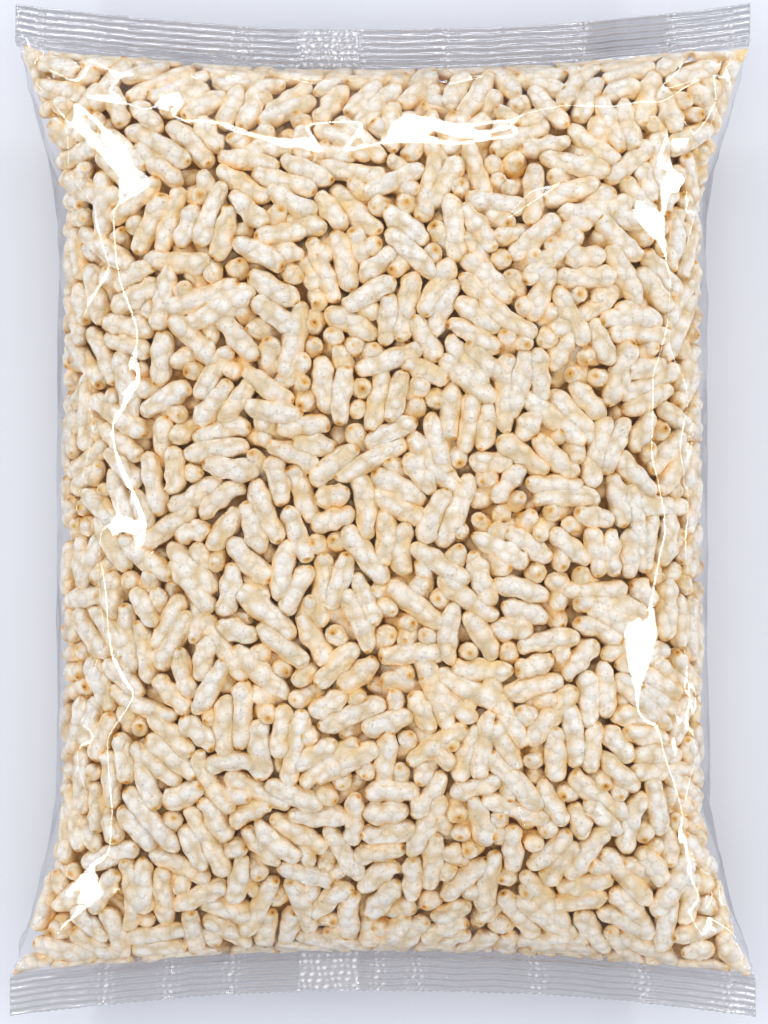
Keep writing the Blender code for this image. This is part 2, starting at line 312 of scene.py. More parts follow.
# %% Letting the heap settle
ROUNDS = 420
GROWTH = 0.45
GROWING_SHARE = 0.6
ROUNDS_A_SEARCH = 6
SEARCH_REACH = 1.35 * GRAIN_WIDTH
grain_of = np.repeat(np.arange(GRAINS), len(BEAD_PLACES))
bead_radius = np.repeat(grain_radius, len(BEAD_PLACES))


def grain_pairs(points, distance):
    """Near pairs of beads, less those that belong to one grain."""
    first, second = near_pairs(points, distance)
    other = grain_of[first] != grain_of[second]
    return first[other], second[other]


for step in range(ROUNDS):
    grown = min(1.0, 1 - GROWTH + GROWTH * step / (GROWING_SHARE * ROUNDS))
    beads = centre[:, None] + (grown * reach)[:, None, None] * BEAD_PLACES[:, None] * axis[:, None]
    beads = beads.reshape(-1, 3)
    if step % ROUNDS_A_SEARCH == 0:
        first, second = grain_pairs(beads, SEARCH_REACH)
    beads, overlaps = push_apart(beads, grown * bead_radius, first, second)
    beads = push_into_bag(beads, grown * bead_radius).reshape(GRAINS, -1, 3)
    centre = beads.mean(axis=1)
    axis = unit(beads[:, -1] - beads[:, 0])
print("pairs", len(first), "mean overlap mm", round(overlaps.mean() * 1000, 3),
      "worst", round(overlaps.max() * 1000, 2))

# %% [markdown]
# ## Grains worked out as arrays
#
# Puffed rice swells in steam, so a grain is a bent rod of foam with a few bulges, round
# ends, and a small toasted pit at each tip where the germ and the stalk sat.  One grain
# could be sculpted and copied, but then all would be alike.  Here a ring of five points is
# carried along each grain's own bent axis, all grains at once, and a subdivision rounds the
# sixty faces.  Most pits lie a little to one side, so each tip's last rings are turned about
# the round end's centre, towards the outside of the heap.

# %% Rings along the grains
COLUMNS = 5
RING_GAP = np.array([0.05, 0.40, 1.05])
RING_RADIUS = np.array([0.20, 0.68, 0.94])
ROUNDING = 1.21
BODY_PLACES = np.array([0.72, 0.36])
RINGS = 2 * (len(RING_GAP) + len(BODY_PLACES)) + 1
BULGE = 0.15
# in millimetres: the shortest and the longest bulge
BULGE_LENGTHS = (3.4, 4.8)
TAPER = 0.12
OVAL = 0.08
UNEVENNESS = 0.13
BEND = 0.07
PIT_DEPTH = 0.30
PIT_STRAY = 0.6
PIT_LEAN = (0.2, 1.0)


def lean_tip(points, pivot, axle, angle):
    """Turn points about an axle through a pivot: each keeps its part along the axle, and
    the rest goes round by the angle."""
    arm = points - pivot
    along_axle = (arm * axle).sum(axis=-1, keepdims=True) * axle
    across = np.cross(axle, arm)
    return pivot + along_axle + (arm - along_axle) * np.cos(angle) + across * np.sin(angle)


def grain_points(middle, along, length, radius, chance):
    """Rings of points round a bent axis: distance from the middle runs from tip to tip, and
    the radius is round at the tips, times slow bulges, times a chance unevenness.  The pits
    lean off the axis, mostly towards the outside of the heap."""
    count = len(middle)
    half = (length / 2)[:, None]
    outer = half - RING_GAP * radius[:, None]
    inner = outer[:, -1:] * BODY_PLACES
    place = np.hstack([-outer, -inner, 0 * half, inner[:, ::-1], outer[:, ::-1]])
    share = np.concatenate([RING_RADIUS, np.ones(2 * len(BODY_PLACES) + 1), RING_RADIUS[::-1]])
    bulge_length = chance.uniform(*BULGE_LENGTHS, (count, 1)) * MM
    phase = chance.uniform(0, 2 * np.pi, (count, 1))
    bulges = 1 + BULGE * np.cos(2 * np.pi * place / bulge_length + phase)
    taper = 1 + chance.uniform(-TAPER, TAPER, (count, 1)) * place / half
    ring = share * bulges * taper * radius[:, None] * ROUNDING
    turn = np.arange(COLUMNS) * 2 * np.pi / COLUMNS + chance.uniform(0, 2, (count, 1, 1))
    uneven = 1 + chance.normal(0, UNEVENNESS, (count, RINGS, COLUMNS))
    oval = 1 + chance.uniform(-OVAL, OVAL, (count, 1, 1)) * np.cos(2 * turn)
    out = ring[:, :, None] * uneven * oval
    side = unit(np.cross(along, chance.normal(size=(count, 3))))
    other = np.cross(along, side)
    bend = chance.normal(0, BEND, (count, 1)) * half * (1 - (place / half) ** 2)
    spots = middle[:, None] + place[..., None] * along[:, None] + bend[..., None] * side[:, None]
    rings = (spots[:, :, None]
             + (out * np.cos(turn))[..., None] * side[:, None, None]
             + (out * np.sin(turn))[..., None] * other[:, None, None])
    pit = (half - PIT_DEPTH * radius[:, None]) * along
    whole = np.concatenate([(middle - pit)[:, None], rings.reshape(count, -1, 3),
                            (middle + pit)[:, None]], axis=1)
    out_of_heap = film_depth(middle)[1]
    for end in (1, -1):
        aim = chance.normal(0, PIT_STRAY, (count, 3)) + out_of_heap
        axle = unit(np.cross(along * end, aim))
        angle = chance.uniform(*PIT_LEAN, (count, 1, 1))
        pivot = (middle + end * (half - radius[:, None]) * along)[:, None]
        near, next_ring = slice(-1 - COLUMNS, None), slice(-1 - 2 * COLUMNS, -1 - COLUMNS)
        if end < 0:
            near, next_ring = slice(0, 1 + COLUMNS), slice(1 + COLUMNS, 1 + 2 * COLUMNS)
        whole[:, near] = lean_tip(whole[:, near], pivot, axle[:, None], angle)
        whole[:, next_ring] = lean_tip(whole[:, next_ring], pivot, axle[:, None], 0.5 * angle)
    return whole


print("rings along a grain", RINGS, "of", COLUMNS, "points")


# %% The faces of one grain
def grain_faces():
    """The faces of one grain: a fan at each pit and bands of quads between the rings."""
    here = np.arange(COLUMNS)
    there = (here + 1) % COLUMNS
    band = np.stack([here, there, COLUMNS + there, COLUMNS + here], axis=1)
    bands = [1 + k * COLUMNS + band for k in range(RINGS - 1)]
    last = 1 + (RINGS - 1) * COLUMNS
    pole = last + COLUMNS
    fans = [np.stack([0 * here, 1 + there, 1 + here], axis=1),
            np.stack([last + here, last + there, 0 * here + pole], axis=1)]
    return np.concatenate(bands), np.concatenate(fans), pole + 1


quads, fans, grain_size = grain_faces()
print("faces in a grain", len(quads) + len(fans), "points", grain_size)

# %% [markdown]
# ## Grains that lean on the film
#
# Where the film is tight it flattens what leans on it.  A Shrinkwrap would do that for one
# grain, but would need the film's mesh.  The depth from above serves again: a point that has
# come through the film goes back by as much as it stands out, a few times over, because the
# depth is only about right where the film curves.

# %% Pressing the grains flat against the film
PRESSED = 0.15 * MM
PRESSES = 5
FARTHEST_PRESS = 1.0 * MM


def press(points):
    """Points that would stand through the film are moved back to it, as a grain is held
    flat by the film it leans on."""
    for _ in range(PRESSES):
        x, y, z = points.T
        limit = seal_edge(share_across(x, y)) - PRESSED
        points = np.stack([x, np.clip(y, -limit, limit), z], axis=1)
        deep, way_out = film_depth(points)
        points = points - np.clip(PRESSED - deep, 0, FARTHEST_PRESS)[:, None] * way_out
    points[:, 2] = np.maximum(points[:, 2], UNDERSIDE)
    return points


too_high = np.array([[0.0, 0.0, HEIGHT + 1 * MM]])
pressed_by = HEIGHT + 1 * MM - press(too_high)[0, 2]
print("1 mm over the crown goes down by", round(pressed_by / MM, 2), "mm")

# %% [markdown]
# ## Colours and shader nodes
#
# Colours are written as they look, as sRGB hex values, and Blender's nodes want linear
# light, so one function turns them.  A material is a tree of nodes.  One function adds a
# node of any kind with its settings and its links, and small ones stand for those that come
# again: numbers kept on the mesh, noise, ranges and mixes.


# %% Colours and shader nodes
def linear(hex_colour):
    """An sRGB hex value as linear red, green, blue and an alpha of 1."""
    parts = [int(hex_colour[k:k + 2], 16) / 255 for k in (1, 3, 5)]
    light = [((c + 0.055) / 1.055) ** 2.4 if c > 0.04045 else c / 12.92 for c in parts]
    return (*light, 1.0)


def add_node(tree, kind, links=(), **settings):
    """A shader node of a kind: settings name its properties, or its inputs with _ for a
    space, and links are pairs of an input and the output that feeds it."""
    node = tree.nodes.new("ShaderNode" + kind)
    for key, value in settings.items():
        if hasattr(node, key):
            setattr(node, key, value)
        else:
            node.inputs[key.replace("_", " ")].default_value = value
    for target, source in links:
        tree.links.new(source, node.inputs[target])
    return node


def new_material(name):
    """A material with nothing in it but its output."""
    material = bpy.data.materials.new(name)
    material.use_nodes = True
    tree = material.node_tree
    tree.nodes.clear()
    return material, tree, add_node(tree, "OutputMaterial")


def kept_number(tree, name):
    """A node's output: a number that is kept on the mesh under a name."""
    return add_node(tree, "Attribute", attribute_name=name).outputs["Fac"]


def noise(tree, size, **settings):
    """A node's output: noise of a size, read at the place on the object."""
    place = add_node(tree, "TexCoord").outputs["Object"]
    return add_node(tree, "TexNoise", [("Vector", place)], Scale=1 / size,
                    **settings).outputs["Fac"]


def ranged(tree, value, low, high, to_low=0.0, to_high=1.0):
    """A node's output: a value brought from one range to another, and kept inside it."""
    return add_node(tree, "MapRange", [("Value", value)], From_Min=low, From_Max=high,
                    To_Min=to_low, To_Max=to_high).outputs["Result"]


def mixed(tree, factor, first, second):
    """A node's output: a mix of two colours, each a hex value or a node's output."""
    node = add_node(tree, "Mix", [("Factor", factor)], data_type="RGBA")
    for socket, colour in ((node.inputs[6], first), (node.inputs[7], second)):
        if isinstance(colour, str):
            socket.default_value = linear(colour)
        else:
            tree.links.new(colour, socket)
    return node.outputs[2]


print("middle grey as linear light", round(linear("#808080")[0], 3))

# %% [markdown]
# ## What puffed rice looks like
#
# Puffed rice is starch blown up to a foam: creamy white, matt, and thin enough to let a
# little light through, so it glows amber where grains close in on each other; that glow is
# painted in as an amber shade.  Its skin bulges over bubbles, the creases between them get a
# painted tan shade, and it is toasted at the tips round a brown pit.  A painted image would
# repeat; nodes read the place, so every grain gets its own pattern.  How near a point is to
# a tip, each grain's tone and the painted shade of each point are kept as numbers on the mesh.

# %% Puffed starch foam
FOAM_CELL = 0.55 * MM
BUBBLE = 2.7 * MM
MOTTLE = 3.2 * MM
BUBBLE_RELIEF = 2.6 * MM
CELL_RELIEF = 0.4 * MM
GLOW_DEPTH = 2.0 * MM
TOAST = [(0.10, "#F6E0B6"), (0.92, "#6A3A18"), (0.40, "#EBBE74"), (0.70, "#D2913F")]


def puffed_rice(name, body, tone_body, shade_colour):
    """Matt cream foam: slow noise mottles cream with tan, the creases between bubbles get a
    painted tan shade, the painted shade kept on the mesh turns it amber, and the tips are
    toasted round a brown pit."""
    material, tree, output = new_material(name)
    tip, tone, shade = [kept_number(tree, kept) for kept in ("tip", "tone", "shade")]
    place = add_node(tree, "TexCoord").outputs["Object"]
    bubbles = add_node(tree, "TexVoronoi", [("Vector", place)], feature="F1",
                       Scale=1 / BUBBLE).outputs["Distance"]
    cells = noise(tree, FOAM_CELL, Detail=2.0)
    patch = ranged(tree, noise(tree, MOTTLE, Detail=3.0, Roughness=0.6), 0.52, 0.72, 0.0, 0.5)
    # painted shade: the creases between bubbles, where the relief dips, turn darker tan
    crease_shade = ranged(tree, bubbles, 0.45, 0.80, 0.0, 0.8)
    speck = ranged(tree, cells, 0.62, 0.70, 0.0, 0.55)
    toast = add_node(tree, "ValToRGB", [("Fac", tip)])
    ramp = toast.color_ramp
    for k, (position, colour) in enumerate(TOAST):
        element = ramp.elements[k] if k < 2 else ramp.elements.new(position)
        element.position = position
        element.color = linear(colour)
    colour = mixed(tree, tone, body, tone_body)
    colour = mixed(tree, patch, colour, "#F0D3A0")
    # painted shade: darker tan in the creases between the bubbles
    colour = mixed(tree, crease_shade, colour, "#E2CBA0")
    colour = mixed(tree, speck, colour, "#BFA684")
    # painted shade: amber where the grain is closed in, by the shade kept on the mesh
    colour = mixed(tree, shade, colour, shade_colour)
    colour = mixed(tree, ranged(tree, tip, 0.04, 0.40), colour, toast.outputs["Color"])
    coarse = add_node(tree, "Bump", [("Height", bubbles)], Strength=0.8,
                      Distance=BUBBLE_RELIEF, invert=True).outputs[0]
    fine = add_node(tree, "Bump", [("Height", cells), ("Normal", coarse)], Strength=0.5,
                    Distance=CELL_RELIEF).outputs[0]
    shader = add_node(tree, "BsdfPrincipled", [("Base Color", colour), ("Normal", fine)],
                      Roughness=0.62, Specular_IOR_Level=0.3, subsurface_method="BURLEY",
                      Subsurface_Weight=0.40, Subsurface_Radius=(1.0, 0.62, 0.35),
                      Subsurface_Scale=GLOW_DEPTH)
    tree.links.new(shader.outputs["BSDF"], output.inputs["Surface"])
    return material


# fresh foam: cream in two tones, with amber painted in as shade where it is closed in
foam = puffed_rice("puffed_starch_foam", "#FDFAF3", "#FAF3E6", "#FFCE6C")
print("bubbles", BUBBLE / MM, "mm, foam cells", FOAM_CELL / MM, "mm across")

# %% [markdown]
# ## Painted shade where the foam is closed in
#
# Light that reaches a gap between grains has been through foam and comes out amber.  To
# trace it all would cost several times as much, so the amber is painted in as shade instead,
# by three things measured for each point: how near the next grain is, how far the grain's
# side turns from the film, and how deep the point lies.  A list of the beads beside each
# bead, made once, keeps it quick.

# %% The beads beside each bead
NEIGHBOURS = 16
BESIDE = 1.7 * GRAIN_WIDTH
first, second = grain_pairs(beads.reshape(-1, 3), BESIDE)
pairs = np.concatenate([np.stack([first, second], 1), np.stack([second, first], 1)])
pairs = pairs[np.argsort(pairs[:, 0], kind="stable")]
rank = np.arange(len(pairs)) - np.searchsorted(pairs[:, 0], pairs[:, 0])
fits = rank < NEIGHBOURS
beside = np.full((len(grain_of), NEIGHBOURS), -1)
beside[pairs[fits, 0], rank[fits]] = pairs[fits, 1]
print("neighbours kept for a bead", round(fits.sum() / len(grain_of), 1))

# %% How much painted shade each point of the rice gets
# these set the painted shade: how near, how turned from the film and how deep a point is
CLOSE = 1.1 * MM
LIT_DEPTH = 1.0 * MM
SHADED_DEPTH = 7.0 * MM
FACING_FILM = 0.80
TURNED_RANGE = 1.2
BARE_DEPTH = 2.0 * MM
BARE_SHARE = 0.2
TOUCHING_SHADE = 0.35
TURNED_SHADE = 0.60
BURIED_SHADE = 0.60


def painted_shade(points, group):
    """Painted shade between 0 and 1 for each point of some grains, from how near the next
    grain is, from the distances to the beads beside its own bead, how far the grain's side
    turns from the film, and how deep it lies."""
    own_beads = beads[group]
    nearest = ((points[:, :, None] - own_beads[:, None]) ** 2).sum(axis=-1).argmin(axis=-1)
    stand = unit(points - np.take_along_axis(own_beads, nearest[..., None], axis=1))
    listed = beside[group[:, None] * len(BEAD_PLACES) + nearest]
    flat = beads.reshape(-1, 3)
    gap = np.linalg.norm(points[:, :, None] - flat[listed], axis=-1) - bead_radius[listed]
    gap = np.where(listed < 0, CLOSE, gap).min(axis=-1)
    touching = 1 - np.clip(gap / CLOSE, 0, 1)
    deep, way_out = film_depth(points.reshape(-1, 3))
    deep = deep.reshape(gap.shape)
    buried = np.clip((deep - LIT_DEPTH) / SHADED_DEPTH, 0, 1)
    faces_out = (stand * way_out.reshape(points.shape)).sum(axis=-1)
    turned = np.clip((FACING_FILM - faces_out) / TURNED_RANGE, 0, 1)
    touching = touching * np.clip(deep / BARE_DEPTH, BARE_SHARE, 1)
    shade = TOUCHING_SHADE * touching + TURNED_SHADE * turned + BURIED_SHADE * buried
    return np.clip(shade, 0, 1)


middle_grain = np.array([int(np.argmax(centre[:, 2]))])
print("at the middle of the highest grain", painted_shade(beads[middle_grain], middle_grain).round(2))

# %% [markdown]
# ## The grains as pieces
#
# A bag holds loose grains, each of its own shape.  Two thousand objects would be slow to
# handle, so grains of like length are joined in one mesh, five in all.  The numbers for the
# foam are stored on their points, and a Subdivision Surface rounds them.


# %% A piece made from arrays
def add_piece(name, points, faces, material, smooth=True):
    """A mesh object from arrays of points and of faces, dressed and riding on the bag."""
    mesh = bpy.data.meshes.new(name)
    mesh.from_pydata(points.reshape(-1, 3).tolist(), [], faces)
    mesh.polygons.foreach_set("use_smooth", np.full(len(mesh.polygons), smooth))
    mesh.materials.append(material)
    piece = bpy.data.objects.new(name, mesh)
    bpy.context.scene.collection.objects.link(piece)
    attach(piece, "root")
    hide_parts("bag")
    return piece


def store(piece, name, values):
    """One number for each point of a piece, as an attribute that its material reads."""
    attribute = piece.data.attributes.new(name, "FLOAT", "POINT")
    attribute.data.foreach_set("value", np.asarray(values, np.float32).reshape(-1))


# %% The grains, a piece for each length
KINDS = ["rice_stubby", "rice_short", "rice_middling", "rice_long", "rice_longest"]
TIP_SHARE = np.array([1.0, 0.50, 0.12, 0.0])
TOASTING = (0.40, 1.0)
tip = np.concatenate([TIP_SHARE[:1], np.repeat(TIP_SHARE[1:], COLUMNS)])
tip_to_tip = np.concatenate([tip, np.zeros(grain_size - 2 * len(tip)), tip[::-1]])
triangles = 0
for name, group in zip(KINDS, np.array_split(np.argsort(grain_length), len(KINDS))):
    points = grain_points(centre[group], axis[group], grain_length[group],
                          grain_radius[group], draw)
    start = (np.arange(len(group)) * grain_size)[:, None, None]
    mesh_faces = (start + quads).reshape(-1, 4).tolist() + (start + fans).reshape(-1, 3).tolist()
    points = press(points.reshape(-1, 3)).reshape(points.shape)
    piece = add_piece(name, points, mesh_faces, foam)
    store(piece, "tip", draw.uniform(*TOASTING, (len(group), 1)) * tip_to_tip)
    store(piece, "tone", np.repeat(draw.uniform(0, 1, len(group)), grain_size))
    store(piece, "shade", painted_shade(points, group))
    rounder = piece.modifiers.new("rounder", "SUBSURF")
    rounder.levels = rounder.render_levels = 1
    triangles += len(group) * (len(quads) * 8 + len(fans) * 6)
print("triangles of rice", triangles)

# %% [markdown]
# ## The tube of film
#
# The film is a tube, pinched at both ends.  Thin film cannot stretch over a heap, so it
# breaks into flat facets with soft creases between them that catch the light.  A cloth
# simulation makes such creases, but slowly and never where they are wanted.  Here the film
# is a coarse net of triangles wrapped round the pillow and split into finer ones.
#
# First comes the wrapping: how far round the tube a point is, as a share, becomes a place on
# the pillow.  The share counts both the way gone and the film's turning, so the tight bends
# at the sides get small facets.

# %% Wrapping a flat tube round the pillow
ARC_SAMPLES = 181
TURN_SHARE = 9.0 * MM
PINCHED = 0.12 * MM
TUBE_STEP = 1e-3


def squared(turn):
    """The cosine of a turn on a circle drawn out towards a square: the cosine's size to
    the power of 2 over the squareness."""
    return np.sign(np.cos(turn)) * np.abs(np.cos(turn)) ** (2 / SQUARENESS)


sweep = np.linspace(0, np.pi, ARC_SAMPLES)
sideways = np.diff(squared(sweep)) * WAIST_HALF_WIDTH
upwards = np.diff(np.sin(sweep)) * CROWN
lean = np.arctan2(upwards, sideways)
arc_steps = np.hypot(sideways, upwards)
arc_steps[1:] += TURN_SHARE * np.abs(np.angle(np.exp(1j * np.diff(lean))))
arc = np.concatenate([[0], np.cumsum(arc_steps)])
arc /= arc[-1]


def wrap(share, along):
    """A point of the flat tube on the bag: share goes once round from 0 to 1, front first,
    and along is -1 to 1 from the lower end seal to the upper."""
    turn = np.interp(np.mod(share * 2, 1), arc, sweep)
    side = np.where(np.mod(share, 1) < 0.5, 1.0, -1.0)
    u = side * squared(turn)
    y = along * seal_edge(u)
    thickness = np.maximum(CROWN * fullness(u, y), PINCHED) * np.sin(turn)
    x = half_width(y) * u
    return np.stack([x, y, spine_height(u, y) + side * thickness], axis=-1)


def outward(share, along):
    """The way out of the bag at a point of the tube, from two short steps along it."""
    round_it = wrap(share + TUBE_STEP, along) - wrap(share - TUBE_STEP, along)
    along_it = wrap(share, along + TUBE_STEP) - wrap(share, along - TUBE_STEP)
    return unit(np.cross(along_it, round_it))


round_waist = np.diff(wrap(np.linspace(0, 1, 400), np.zeros(400)), axis=0)
print("girth at the waist", round(np.linalg.norm(round_waist, axis=1).sum() / MM), "mm")

# %% [markdown]
# ## A net of triangles round the tube
#
# Creased film has flat facets 10 to 15 mm across that meet in three and fours, never in
# rows.  A plain grid of squares would show its rows, so every other row is staggered and
# each corner is moved by chance, along the film and a little out of it.


# %% Closing a ring of points
def fold_cap(first, count, offset):
    """Triangles that close a ring of points by joining each to its mirror in the ring,
    which is the point as far from the ring's start the other way, less an offset."""
    here = np.arange(count // 2)
    mirror = (count - offset - here) % count
    beyond = (count - offset - here - 1) % count
    cap = np.concatenate([np.stack([here, mirror, beyond], axis=1),
                          np.stack([here, beyond, here + 1], axis=1)])
    real = (cap[:, 0] != cap[:, 1]) & (cap[:, 1] != cap[:, 2]) & (cap[:, 0] != cap[:, 2])
    return first + cap[real]


print("triangles that close a ring of 8 points", len(fold_cap(0, 8, 0)))

# %% A coarse net of triangles
FACETS_ROUND = 32
FACETS_LONG = 22
END_CROWDING = 0.18
INTO_SEAL = 1.012
CORNER_SHIFT = 0.36
SLACK = 0.40 * MM
SPARE_FILM = 1.3 * MM
RIM_HOLD = 0.85
RIM_POWER = 12
LOWEST_FILM = 0.3 * MM


def coarse_net(chance):
    """Staggered rows of points round the tube, each shifted by chance except on the end
    rows, two triangles to a gap, and a strip of triangles that closes each end."""
    row, column = np.meshgrid(np.arange(FACETS_LONG + 1), np.arange(FACETS_ROUND), indexing="ij")
    inside = (row > 0) & (row < FACETS_LONG)
    shift = chance.uniform(-CORNER_SHIFT, CORNER_SHIFT, (2, *row.shape)) * inside
    share = (column + 0.5 * (row % 2) + shift[0]) / FACETS_ROUND
    along = -1 + 2 * (row + shift[1]) / FACETS_LONG
    along = along + END_CROWDING * np.sin(np.pi * along)
    along = np.where(inside, np.clip(along, -1, 1), np.sign(along) * INTO_SEAL)
    points = wrap(share, along)
    at_rim = np.clip(np.abs(points[..., 0]) / half_width(points[..., 1]), 0, 1) ** RIM_POWER
    slack = (SLACK + chance.uniform(0, SPARE_FILM, row.shape)) * (1 - RIM_HOLD * at_rim)
    points = points + outward(share, along) * (slack * inside)[..., None]
    index = row * FACETS_ROUND + column
    right = row * FACETS_ROUND + (column + 1) % FACETS_ROUND
    here, there = index[:-1].reshape(-1), right[:-1].reshape(-1)
    above, above_there = index[1:].reshape(-1), right[1:].reshape(-1)
    odd = (row[:-1] % 2).reshape(-1) == 1
    first = np.where(odd[:, None], np.stack([here, there, above_there], 1),
                     np.stack([here, there, above], 1))
    second = np.where(odd[:, None], np.stack([here, above_there, above], 1),
                      np.stack([there, above_there, above], 1))
    caps = [fold_cap(0, FACETS_ROUND, 0)[:, ::-1],
            fold_cap(FACETS_LONG * FACETS_ROUND, FACETS_ROUND, 0)]
    return points.reshape(-1, 3), np.concatenate([first[:, ::-1], second[:, ::-1], *caps])


print("facets", 2 * FACETS_ROUND * FACETS_LONG)


# %% Splitting, facing and softening a net
def split(points, faces):
    """Each triangle becomes four, with a new point at the middle of every edge."""
    edges = np.sort(faces[:, [0, 1, 1, 2, 2, 0]].reshape(-1, 2), axis=1)
    single, back = np.unique(edges, axis=0, return_inverse=True)
    ab, bc, ca = (len(points) + back.reshape(-1, 3)).T
    a, b, c = faces.T
    corners = [(a, ab, ca), (ab, b, bc), (ca, bc, c), (ab, bc, ca)]
    finer = np.concatenate([np.stack(corner, axis=1) for corner in corners])
    return np.concatenate([points, points[single].mean(axis=1)]), finer


def facing(points, faces):
    """The way each point faces: the sum of the crosses of its triangles' edges."""
    a, b, c = points[faces].transpose(1, 0, 2)
    cross = np.repeat(np.cross(b - a, c - a), 3, axis=0)
    return unit(summed(faces.reshape(-1), cross, len(points)))


def soften(points, faces, times, share=0.5):
    """Move each point part of the way to the mean of its neighbours, some times over."""
    first, second = faces.reshape(-1), faces[:, [1, 2, 0]].reshape(-1)
    count = np.bincount(first, minlength=len(points))
    for _ in range(times):
        mean = summed(first, points[second], len(points)) / count[:, None]
        points = points + share * (mean - points)
    return points


corner = np.array([[0, 0, 0], [1.0, 0, 0], [0, 1.0, 0]])
print("one triangle splits into", len(split(corner, np.array([[0, 1, 2]]))[1]))

# %% [markdown]
# ## Creases, ripples and pleats
#
# Each facet is split three times.  Chance moves the new points out or in before each split,
# most at the film's rim, where the spare film crinkles, and one softening rounds the
# creases.  Where the tube is pinched into an end seal it gathers into pleats that fade over
# a few millimetres, with a fold that zigzags along the seal.

# %% The film's points
RIPPLES = [0.07 * MM, 0.07 * MM * 0.35, 0.0]
RIPPLE_RANGE = (-0.4, 1.0)
STILL_LENGTH = 4.0 * MM
RIM_RIPPLE = 4.0
RIM_SHARE = 0.05
net_draw = np.random.default_rng(17)
film_points, film_faces = coarse_net(net_draw)
for ripple in RIPPLES:
    film_points, film_faces = split(film_points, film_faces)
    move = net_draw.uniform(*RIPPLE_RANGE, (len(film_points), 1)) * ripple
    x, y, z = film_points.T
    free = (seal_edge(x / half_width(y)) - np.abs(y)) / STILL_LENGTH
    rim = np.exp(-(1 - np.abs(x) / half_width(y)) / RIM_SHARE)
    move = move * (1 + RIM_RIPPLE * rim[:, None])
    move = facing(film_points, film_faces) * move * np.clip(free, 0, 1)[:, None]
    film_points = film_points + move
film_points = soften(film_points, film_faces, 1)
print("film triangles", len(film_faces))

# %% Pleats and a zigzag fold at each end seal
PLEAT = 0.20 * MM
PLEAT_WAVE = 1.1 * MM
PLEAT_STRAY = 7.0 * MM
PLEAT_START = 1.5 * MM
PLEAT_FADE = 5.0 * MM
FOLD = 0.32 * MM
FOLD_LENGTH = 11.0 * MM
FOLD_STRAY = 6.0 * MM
FOLD_WIDTH = 0.45 * MM
# in millimetres: the fold's least distance from the seal, and how much farther it goes
FOLD_PLACE = (1.0, 2.6)
x, y, z = film_points.T
to_seal = np.clip(seal_edge(x / half_width(y)) - np.abs(y), 0, 1)
pleats = np.sin(x / PLEAT_WAVE + 3 * np.sin(x / PLEAT_STRAY)) * np.exp(-to_seal / PLEAT_FADE)
pleats *= np.clip(to_seal / PLEAT_START, 0, 1) * PLEAT
turns = x / FOLD_LENGTH + 0.35 * np.sin(x / FOLD_STRAY) + 0.5 * (y > 0)
zigzag = np.abs(2 * np.mod(turns, 1) - 1)
fold_line = (FOLD_PLACE[0] + FOLD_PLACE[1] * zigzag) * MM
pleats += FOLD * np.exp(-((to_seal - fold_line) / FOLD_WIDTH) ** 2)
film_points = film_points + facing(film_points, film_faces) * pleats[:, None]
film_points[:, 2] = np.maximum(film_points[:, 2], LOWEST_FILM)
print("pleats stand out by up to", round(pleats.max() / MM, 2), "mm")

# %% [markdown]
# ## What film looks like
#
# The film is polypropylene, cast on a cold roller, so it is clear and smooth.  It shows only
# as what it mirrors: little face on, and hard white shards where a crease turns a lamp
# towards the eye.  Glass with real thickness would bend the view of every grain and take
# many bounces.  A mix of see-through and gloss, by the share that film mirrors at each
# angle, gives the same look at once.
#
# The crimped ends are several walls of film welded together, so they mirror more: a raised
# index of refraction stands for that.  Where the jaws crushed them they are dented.

# %% Clear cast polypropylene
CRUSH_SIZE = 0.5 * MM
CRUSH_DEPTH = 0.25 * MM
FILM_INDEX = 1.46
CRIMPED_INDEX = 2.6


def face_on(index):
    """The share that is mirrored face on: the square of index - 1 over index + 1."""
    return ((index - 1) / (index + 1)) ** 2


def raised(tree, value, power):
    """A node's output that is a value raised to a power."""
    node = add_node(tree, "Math", [(0, value)], operation="POWER")
    node.inputs[1].default_value = power
    return node.outputs[0]


def blended(tree, share, first, second):
    """A node that blends two shaders' nodes by a share."""
    inputs = [("Fac", share), (1, first.outputs[0]), (2, second.outputs[0])]
    return add_node(tree, "MixShader", inputs)


def clear_film(name, index, gloss, tint, edge_tint, cloud, darkening, dented=False):
    """Clear film: see-through but for its mirror share, which grows with the fifth power
    of one less the cosine of the angle, and a faint white cloud where it is crowded, which on
    the end seals also carries painted light and a painted highlight.  It bends light away
    where it slopes, so its tint darkens: the darkening is that power.  Dented film also mirrors
    unevenly where its points are crushed."""
    material, tree, output = new_material(name)
    facing_away = add_node(tree, "LayerWeight", Blend=0.5).outputs["Facing"]
    mirror = ranged(tree, raised(tree, facing_away, 5.0), 0.0, 1.0, face_on(index))
    dimming = mixed(tree, raised(tree, facing_away, darkening), tint, edge_tint)
    through = add_node(tree, "BsdfTransparent", [("Color", dimming)])
    shine = add_node(tree, "BsdfAnisotropic", Roughness=gloss, Color=(1, 1, 1, 1))
    if dented:
        heights = [("Height", noise(tree, CRUSH_SIZE)), ("Strength", kept_number(tree, "crush"))]
        dents = add_node(tree, "Bump", heights, Distance=CRUSH_DEPTH)
        tree.links.new(dents.outputs["Normal"], shine.inputs["Normal"])
    clear = blended(tree, mirror, through, shine)
    white = add_node(tree, "BsdfDiffuse", Color=linear(cloud))
    whole = blended(tree, kept_number(tree, "haze_and_painted_light"), clear, white)
    tree.links.new(whole.outputs[0], output.inputs["Surface"])
    return material


# smooth film: clear face on, greyer where it slopes away
pouch_film = clear_film("cast_polypropylene_film", FILM_INDEX, 0.03, "#FCFCFD", "#B9BBC3",
                        "#F4F5FA", 3.0)
# crimped film: brighter and duller, as its ribs and dents scatter what it mirrors
crimped = clear_film("crimped_polypropylene_film", CRIMPED_INDEX, 0.13, "#F2F2F4", "#9C9DA3",
                     "#EDECEE", 0.8, dented=True)
print("film mirrors", round(face_on(FILM_INDEX), 3), "of what falls on it face on")

